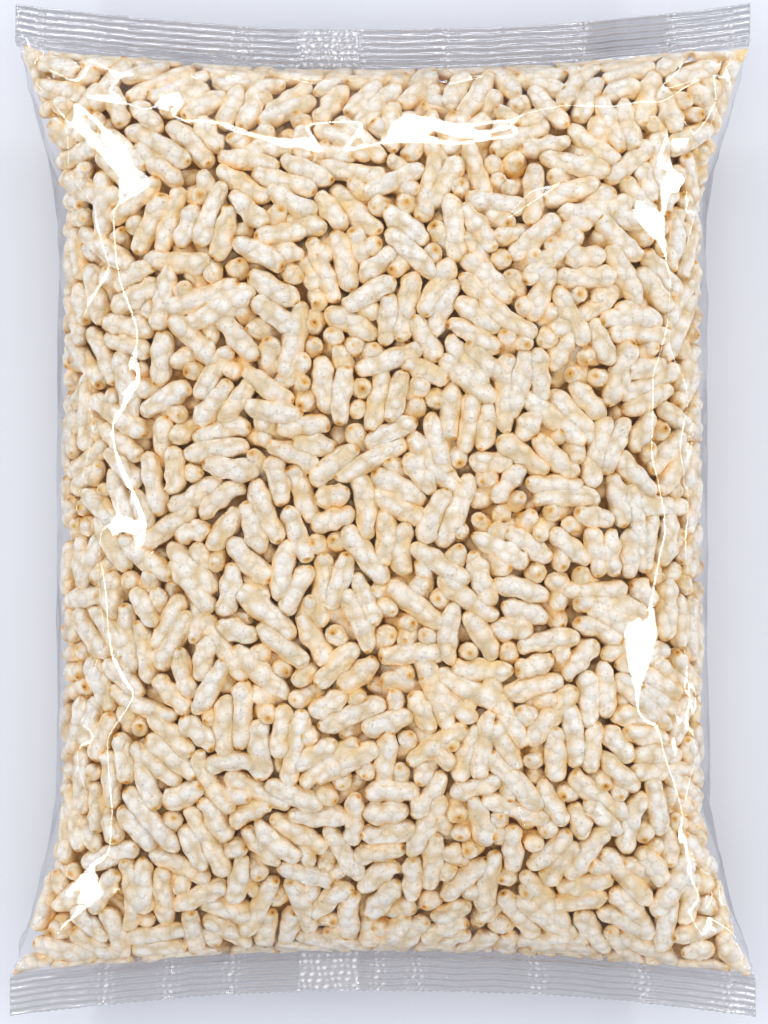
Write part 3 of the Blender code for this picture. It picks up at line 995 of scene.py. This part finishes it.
# %% The film as a piece
SEAL_HAZE = 0.08
HAZE_FADE = 5.0 * MM
film = add_piece("film", film_points, film_faces.tolist(), pouch_film)
store(film, "haze_and_painted_light", SEAL_HAZE * np.exp(-to_seal / HAZE_FADE))
print("film's box in mm", [[round(side / MM, 1) for side in (way.min(), way.max())]
                          for way in film_points.T])

# %% [markdown]
# ## The crimped end seals
#
# Hot ribbed jaws weld the ends of the tube.  Their six ribs stay in the film, the blade
# leaves a toothed edge, and the film puckers where it was not quite flat, which leaves
# panels that catch the light differently, and folds that the jaws turned white, with a
# painted highlight on their crests.  The lower seal is painted whiter, as painted light.  A
# flat strip with a bump pattern would look printed on.  So one ribbed profile is carried
# along the bag's width, and its tilt changes at each panel's edge.


# %% The faces of rings one after another
def loft_faces(rows, columns, offset, flip=False):
    """The faces of rings of points one after another, with both ends closed."""
    index = np.arange(rows * columns).reshape(rows, columns)
    after = np.roll(index, -1, axis=1)
    sides = np.stack([index[:-1], index[1:], after[1:], after[:-1]], axis=-1).reshape(-1, 4)
    start = fold_cap(0, columns, offset)[:, ::-1]
    end = fold_cap((rows - 1) * columns, columns, offset)
    parts = [sides, start, end]
    return [face for part in parts for face in (part[:, ::-1] if flip else part).tolist()]


def thin_strip(name, x, y, heights, flip):
    """A piece of crimped film: an upper and a lower wall of points, in one closed ring
    at each step along it."""
    walls = [np.stack(np.broadcast_arrays(x, y, height), axis=-1) for height in heights]
    rings = np.concatenate([walls[0], walls[1][:, ::-1]], axis=1)
    faces = loft_faces(*rings.shape[:2], 1, flip=flip)
    return add_piece(name, rings, faces, crimped)


print("faces of three closed rings of 8", len(loft_faces(3, 8, 0)))

# %% The ribs across an end seal
RIBS = 6
RIB_PITCH = SEAL_HEIGHT / RIBS
RIB_DEPTH = 0.40 * MM
RIB_SHARPNESS = 0.93
RIB_FADES = (0.6 * MM, 0.3 * MM)
TUCK = 1.0 * MM
TOOTH_PITCH = 0.75 * MM
TOOTH = 0.22 * MM
TOOTH_FADE = 0.5 * MM


def slow_noise(values, length, chance, count=5):
    """A sum of sines with chance lengths near the one given, and chance phases."""
    waves = chance.uniform(0.6, 1.7, count) / length
    phases = chance.uniform(0, 2 * np.pi, count)
    return np.sin(2 * np.pi * values[..., None] * waves + phases).sum(axis=-1) / count ** 0.5


def ribs(down, drift):
    """The ribs' wave, and their height: a rounded zig-zag that fades at both edges."""
    wave = RIB_SHARPNESS * np.sin(2 * np.pi * (down + drift) / RIB_PITCH)
    rib = RIB_DEPTH / 2 * np.arcsin(wave) / np.arcsin(RIB_SHARPNESS)
    rib = rib * np.clip((SEAL_HEIGHT + TUCK / 2 - down) / RIB_FADES[0], 0, 1)
    return wave, rib * np.clip(down / RIB_FADES[1], 0, 1)


def teeth(x_flat, down):
    """How far the teeth cut into the blade's edge: a zig-zag that fades below it."""
    zigzag = np.abs(np.mod(x_flat / TOOTH_PITCH, 2) - 1)
    return TOOTH * zigzag * np.clip(1 - down / TOOTH_FADE, 0, 1)


print("ribs", RIBS, "of", round(RIB_PITCH / MM, 2), "mm")

# %% A profile carried along an end seal
SEAL_FILM = 0.16 * MM
SEAL_COLUMNS = 420
SEAL_ROWS = 54
EDGE_STRAY = 0.05 * MM
RIB_STRAY = 0.10 * MM
STRAY_LENGTH = 22.0 * MM
PUCKER_LENGTH = 9.0 * MM
# the panels: how many, how sharp their edges are, how they lean, and where that fades
PANELS = 9
PANEL_EDGE = 0.3 * MM
LEVELLED = -0.12
LEAN_SPREAD = 0.12
LEAN_STRAY = 0.05
LEAN_FADE = 3.0 * MM
# the lap inside the seal, whose ribs are shifted and lean more
LAP_CENTRE = -11.0 * MM
LAP_WIDTH = 12.0 * MM
LAP_SHIFT = 0.4 * RIB_PITCH
LAP_LEAN = 0.12
# the crinkles on the lap and where panels meet
CRINKLE = 0.09 * MM
CRINKLE_LENGTH = 1.5 * MM
CRINKLE_REACH = 1.8 * MM
CRINKLED_BREAK = 0.8
WANDER = 0.3 * MM
WANDER_LENGTHS = (0.8 * MM, 1.1 * MM)
# the share that is white: of the whole seal, extra on the lower seal as painted light, of
# its lap, and of the crinkles, partly turned white by the jaws and partly a painted highlight
SEAL_CLOUD = 0.16
LOWER_PAINTED_LIGHT = 0.08
LAP_CLOUD = 0.08
WHITE_AND_HIGHLIGHT = 0.75
MOST_WHITE = 0.8
BLOT = (3, 4)
# the share that is crushed: at least, by chance, where panels meet, and on the lap
CRUSHED = 0.05
CHANCE_CRUSH = 0.9
BREAK_CRUSH = 0.8
BREAK_REACH = 0.9 * MM
LAP_CRUSH = 0.3


def whitening_and_painted_highlight(folds, crinkled, wave):
    """How white the crinkles are, partly from the jaws and partly a painted highlight: most on
    their crests and on the ribs', in chance blots of a few points each."""
    blots = blot_draw.uniform(0, 1.5, (SEAL_COLUMNS // BLOT[0] + 1, SEAL_ROWS // BLOT[1] + 1))
    blots = np.repeat(np.repeat(blots, BLOT[0], axis=0), BLOT[1], axis=1)
    blots = blots[:SEAL_COLUMNS, :SEAL_ROWS] * np.clip(0.5 + 0.6 * wave, 0, 1)
    return np.clip(WHITE_AND_HIGHLIGHT * np.clip(0.3 + folds, 0, 1) * crinkled * blots, 0, MOST_WHITE)


def end_seal(name, end, chance):
    """The corrugated band: ribs down it, and a tilt and a height that change across the
    bag, at once where a panel ends and slowly elsewhere."""
    u = np.linspace(-1, 1, SEAL_COLUMNS)[:, None]
    down = np.linspace(0, 1, SEAL_ROWS)[None] * (SEAL_HEIGHT + TUCK)
    x_flat = u * HALF_WIDTH
    stray = EDGE_STRAY * slow_noise(x_flat, PUCKER_LENGTH, chance)
    y = cut_edge(u) - down - teeth(x_flat, down) + stray
    on_lap = np.abs(x_flat - LAP_CENTRE) < LAP_WIDTH / 2
    drift = RIB_STRAY * slow_noise(x_flat, STRAY_LENGTH, chance) + LAP_SHIFT * on_lap
    wave, rib = ribs(down, drift)
    breaks = np.sort(chance.uniform(-1, 1, PANELS)) * HALF_WIDTH
    lean = chance.normal(end * LEVELLED, LEAN_SPREAD, PANELS + 1)
    tilt = lean[0] + sum((lean[k + 1] - lean[k]) / (1 + np.exp((breaks[k] - x_flat) / PANEL_EDGE))
                         for k in range(PANELS))
    tilt = tilt + LEAN_STRAY * slow_noise(x_flat, PUCKER_LENGTH, chance) + LAP_LEAN * on_lap
    level = MIDDLE_HEIGHT - SEAL_DROOP * (y / HALF_LENGTH) ** 4 + seal_wave(u)
    fade = np.clip((SEAL_HEIGHT + TUCK - down) / LEAN_FADE, 0, 1)
    from_break = np.abs(x_flat - breaks).min(axis=1, keepdims=True)
    crinkled = on_lap + CRINKLED_BREAK * np.exp(-(from_break / CRINKLE_REACH) ** 2)
    crinkled = np.clip(crinkled, 0, 1)
    wander = WANDER * np.sin(down / WANDER_LENGTHS[0] + x_flat / WANDER_LENGTHS[1])
    folds = crinkled * np.sin(2 * np.pi * (x_flat + wander) / CRINKLE_LENGTH)
    middle = level + rib + CRINKLE * folds + tilt * (down - SEAL_HEIGHT / 2) * fade
    heights = (middle + SEAL_FILM / 2, middle - SEAL_FILM / 2)
    piece = thin_strip(name, half_width(end * y) * u, end * y, heights, end > 0)
    # the lower seal is painted whiter as painted light, and the crinkles' crests as a painted
    # highlight
    cloud_and_painted_light = SEAL_CLOUD - LOWER_PAINTED_LIGHT * end + LAP_CLOUD * on_lap
    cloud_and_painted_light = cloud_and_painted_light + whitening_and_painted_highlight(folds, crinkled, wave)
    store(piece, "haze_and_painted_light", np.concatenate([cloud_and_painted_light, cloud_and_painted_light[:, ::-1]], axis=1))
    panel = np.searchsorted(breaks, x_flat[:, 0])
    crushed = chance.uniform(0, 1, PANELS + 1)[panel] ** 3 * CHANCE_CRUSH + CRUSHED
    crushed = crushed + BREAK_CRUSH * np.exp(-from_break[:, 0] / BREAK_REACH)
    crushed = crushed + LAP_CRUSH * on_lap[:, 0]
    store(piece, "crush", np.repeat(np.clip(crushed, 0, 1), 2 * SEAL_ROWS))
    return piece


print("panels", PANELS + 1, "in a seal of", SEAL_COLUMNS, "by", SEAL_ROWS, "points")

# %% The two end seals
seal_draw = np.random.default_rng(3)
blot_draw = np.random.default_rng(9)
upper_seal = end_seal("upper_seal", 1, seal_draw)
lower_seal = end_seal("lower_seal", -1, seal_draw)
print("faces in an end seal", len(upper_seal.data.polygons))

# %% [markdown]
# ## The seal down the back
#
# The tube is closed by a flat lap down the back, folded over to one side, a little off the
# middle.  It could be part of the film's net, but then its edges would be lost in the
# facets.  It is a strip of its own that follows the film's underside.

# %% The back seal
LAP_THICKNESS = 0.2 * MM
LAP_GAP = 0.05 * MM
LAP_ROWS = 160
LAP_COLUMNS = 12


def back_lap():
    """A strip under the bag: its height is the film's underside less its own thickness."""
    v = np.linspace(-1, 1, LAP_ROWS)[:, None]
    x = LAP_CENTRE + LAP_WIDTH * np.linspace(-0.5, 0.5, LAP_COLUMNS)[None]
    y = v * seal_edge(x / WAIST_HALF_WIDTH)
    u = x / half_width(y)
    bulge = np.sqrt(1 - np.abs(u) ** SQUARENESS)
    skin = spine_height(u, y) - CROWN * fullness(u, y) * bulge - SLACK
    top = np.maximum(skin, LOWEST_FILM) - LAP_GAP
    piece = thin_strip("back_seal", x, y, (top, top - LAP_THICKNESS), True)
    store(piece, "haze_and_painted_light", np.full(len(piece.data.vertices), 0.04))
    return piece


back_seal = back_lap()
print("faces in the back seal", len(back_seal.data.polygons))

# %% [markdown]
# ## The rice deep in the heap
#
# Under the two layers that show, the heap goes on, and no eye reaches it.  More grains there
# would only cost time, and without any the table would show through the gaps.  A plain body
# of foam painted in an amber shade, the pillow drawn in by 7 mm, closes them.

# %% The rice deep in the heap
CORE_DEPTH = 7.0 * MM
CORE_COLUMNS = 96
CORE_ROWS = 72
CORE_REACH = 0.93
MOST_OF_THE_WAY = 0.92
CORE_VALUES = {"tip": 0.0, "tone": 0.5, "shade": 0.6}


def core_points():
    """The pillow drawn in: each point moves towards the nearest round edge or the middle
    surface by the core's depth."""
    share, along = np.meshgrid(np.arange(CORE_COLUMNS) / CORE_COLUMNS,
                               np.linspace(-CORE_REACH, CORE_REACH, CORE_ROWS))
    points = wrap(share, along)
    x, y, _ = points.transpose(2, 0, 1)
    u = x / half_width(y)
    inner = np.maximum(half_width(y) - CROWN * fullness(u, y), 0)
    spine = np.stack([np.clip(x, -inner, inner), y, spine_height(u, y)], axis=-1)
    way = spine - points
    distance = np.maximum(np.linalg.norm(way, axis=-1, keepdims=True), 1e-6)
    return points + way * np.minimum(CORE_DEPTH / distance, MOST_OF_THE_WAY)


grid = core_points()
# foam painted in its own shade: amber, as light turns after going through grains on all sides
shadow_foam = puffed_rice("shaded_starch_foam", "#FFCB76", "#F8C066", "#F0B056")
core = add_piece("rice_core", grid, loft_faces(*grid.shape[:2], 0), shadow_foam)
for kept, value in CORE_VALUES.items():
    store(core, kept, np.full(len(core.data.vertices), value))
print("faces in the core", len(core.data.polygons))

# %% [markdown]
# ## The floor
#
# The bag lies on a pale table.  A curved backdrop would hide the table's edge, but the eye
# looks straight down here, so a flat sheet of matt paper is enough.

# %% The floor
bpy.ops.mesh.primitive_plane_add(size=3.0)
floor = bpy.context.object
floor.name = "floor"
paper, paper_tree, paper_out = new_material("matt_white_paper")
paper_shader = add_node(paper_tree, "BsdfPrincipled", Roughness=0.9,
                        Base_Color=linear("#DFE2EB"))
paper_tree.links.new(paper_shader.outputs[0], paper_out.inputs["Surface"])
floor.data.materials.append(paper)
print("floor", [round(side, 1) for side in floor.dimensions[:2]], "m")

# %% [markdown]
# ## The lamps
#
# Film shows by what it mirrors, so the lamps' shapes matter more than their strength.  Long
# narrow soft boxes at both sides and the far end draw the bright broken lines down the
# film's sides and across its top.  A wide card behind the far box gives the ribs of the end
# seals a light and a dark flank.  Two large soft boxes that gloss doesn't see, and an even
# pale sky, light the rice without a highlight.


# %% The lamps
def soft_box(name, bearing, slope, wide, tall, radiance, far=1.8):
    """A rectangular lamp that looks at the bag: bearing turns from +X, slope leans from
    straight up, and its power is its radiance times its area times pi."""
    lamp = bpy.data.lights.new(name, "AREA")
    lamp.shape = "RECTANGLE"
    lamp.size, lamp.size_y = wide, tall
    lamp.energy = radiance * wide * tall * math.pi
    box = bpy.data.objects.new(name, lamp)
    lean, turn = math.radians(slope), math.radians(bearing)
    way = Vector((math.sin(lean) * math.cos(turn), math.sin(lean) * math.sin(turn),
                  math.cos(lean)))
    box.location = way * far
    box.rotation_euler = way.to_track_quat("Z", "Y").to_euler()
    bpy.context.scene.collection.objects.link(box)
    return box


soft_box("left_box", 180, 50, 2.2, 0.08, 25.0)
soft_box("right_box", 0, 58, 2.2, 0.08, 26.0)
soft_box("left_strip", 180, 76, 2.2, 0.025, 20.0)
soft_box("right_strip", 0, 80, 2.2, 0.03, 22.0)
soft_box("far_box", 90, 62, 2.0, 0.08, 24.0)
soft_box("far_card", 90, 66, 2.4, 0.9, 0.75, far=1.9)
fills = [soft_box("overhead_box", 90, 0, 1.6, 1.6, 0.92),
         soft_box("near_box", 270, 55, 1.6, 0.8, 1.4)]
for fill in fills:
    fill.visible_glossy = False
sky = bpy.data.worlds.new("pale_sky")
sky.use_nodes = True
backdrop = sky.node_tree.nodes["Background"]
backdrop.inputs["Color"].default_value = linear("#F3F6FF")
backdrop.inputs["Strength"].default_value = 0.38
bpy.context.scene.world = sky
bpy.context.scene.view_settings.view_transform = "Standard"

# %% [markdown]
# ## The camera
#
# The eye looks straight down on the bag from a little over a metre, where its sides and
# seals hardly slant.  The lens follows from the width that has to fill the picture.

# %% The camera
VIEW_WIDTH = 156.7 * MM
VIEW_DISTANCE = 1.1
SENSOR = 36.0
AIM = (0.3 * MM, -0.4 * MM)
AIM_HEIGHT = 16.0 * MM
eye = bpy.data.cameras.new("eye")
eye.sensor_fit = "HORIZONTAL"
eye.sensor_width = SENSOR
eye.lens = SENSOR * VIEW_DISTANCE / VIEW_WIDTH
camera = bpy.data.objects.new("camera", eye)
camera.location = (*AIM, AIM_HEIGHT + VIEW_DISTANCE)
bpy.context.scene.collection.objects.link(camera)
bpy.context.scene.camera = camera
print("lens", round(eye.lens), "mm")
